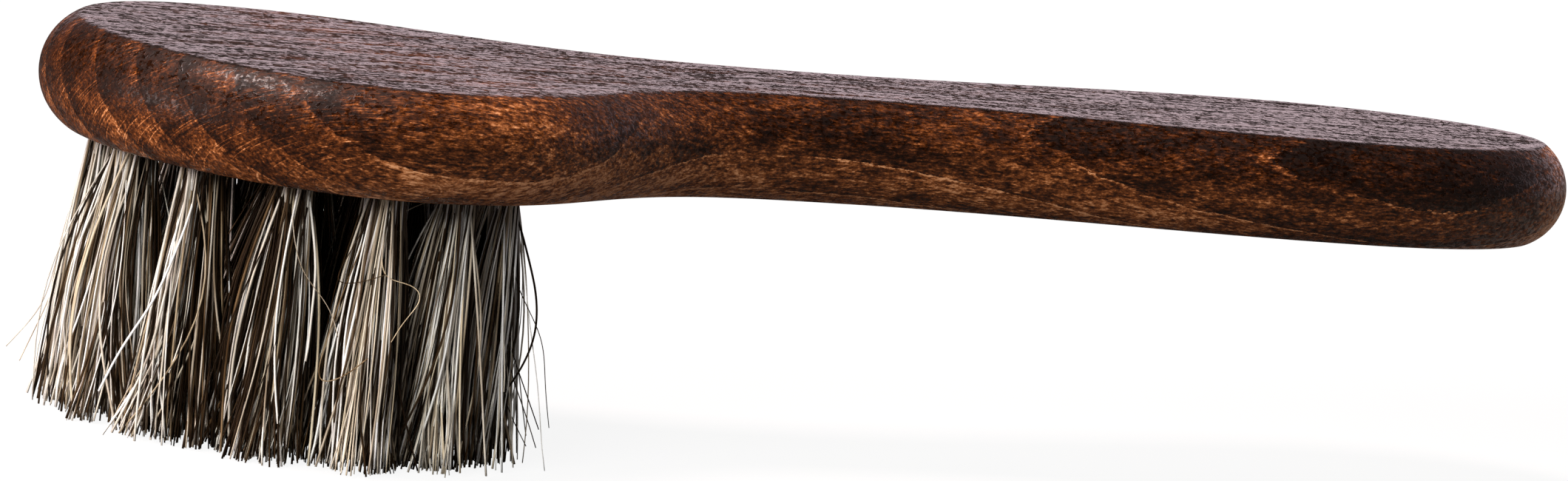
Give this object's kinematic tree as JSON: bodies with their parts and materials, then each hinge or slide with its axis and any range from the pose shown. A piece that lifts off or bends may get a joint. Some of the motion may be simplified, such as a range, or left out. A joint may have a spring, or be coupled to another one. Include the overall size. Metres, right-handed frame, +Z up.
{
  "type": "applicator brush",
  "caption": "Hand brush for spreading polish or cream: one wooden piece forms the round head and waisted handle, with tufts of mixed horsehair trimmed flat.",
  "frame": {"origin": "centre of the brush's box, on the plane that the hair is trimmed to", "axes": "+X from the head to the end of the handle, +Z up out of the flat top, away from the hair, Y across the brush"},
  "size_m": [0.17, 0.0484, 0.035],
  "materials": {
    "stained_beech": "dark brown stain under a semi-gloss coat",
    "horsehair": "mixed pale and dark hair, slightly glossy",
    "anchor_wire": "drawn flat wire"
  },
  "bodies": {
    "root": {"handle_board": "stained_beech", "tuft_outer_01": "horsehair", "tuft_outer_02": "horsehair", "tuft_outer_03": "horsehair", "tuft_outer_04": "horsehair", "tuft_outer_05": "horsehair", "tuft_outer_06": "horsehair", "tuft_outer_07": "horsehair", "tuft_outer_08": "horsehair", "tuft_outer_09": "horsehair", "tuft_outer_10": "horsehair", "tuft_outer_11": "horsehair", "tuft_outer_12": "horsehair", "tuft_outer_13": "horsehair", "tuft_inner_01": "horsehair", "tuft_inner_02": "horsehair", "tuft_inner_03": "horsehair", "tuft_inner_04": "horsehair", "tuft_inner_05": "horsehair", "tuft_inner_06": "horsehair", "tuft_inner_07": "horsehair", "tuft_centre": "horsehair", "anchor_outer_01": "anchor_wire", "anchor_outer_02": "anchor_wire", "anchor_outer_03": "anchor_wire", "anchor_outer_04": "anchor_wire", "anchor_outer_05": "anchor_wire", "anchor_outer_06": "anchor_wire", "anchor_outer_07": "anchor_wire", "anchor_outer_08": "anchor_wire", "anchor_outer_09": "anchor_wire", "anchor_outer_10": "anchor_wire", "anchor_outer_11": "anchor_wire", "anchor_outer_12": "anchor_wire", "anchor_outer_13": "anchor_wire", "anchor_inner_01": "anchor_wire", "anchor_inner_02": "anchor_wire", "anchor_inner_03": "anchor_wire", "anchor_inner_04": "anchor_wire", "anchor_inner_05": "anchor_wire", "anchor_inner_06": "anchor_wire", "anchor_inner_07": "anchor_wire", "anchor_centre": "anchor_wire"}
  },
  "joints": []
}
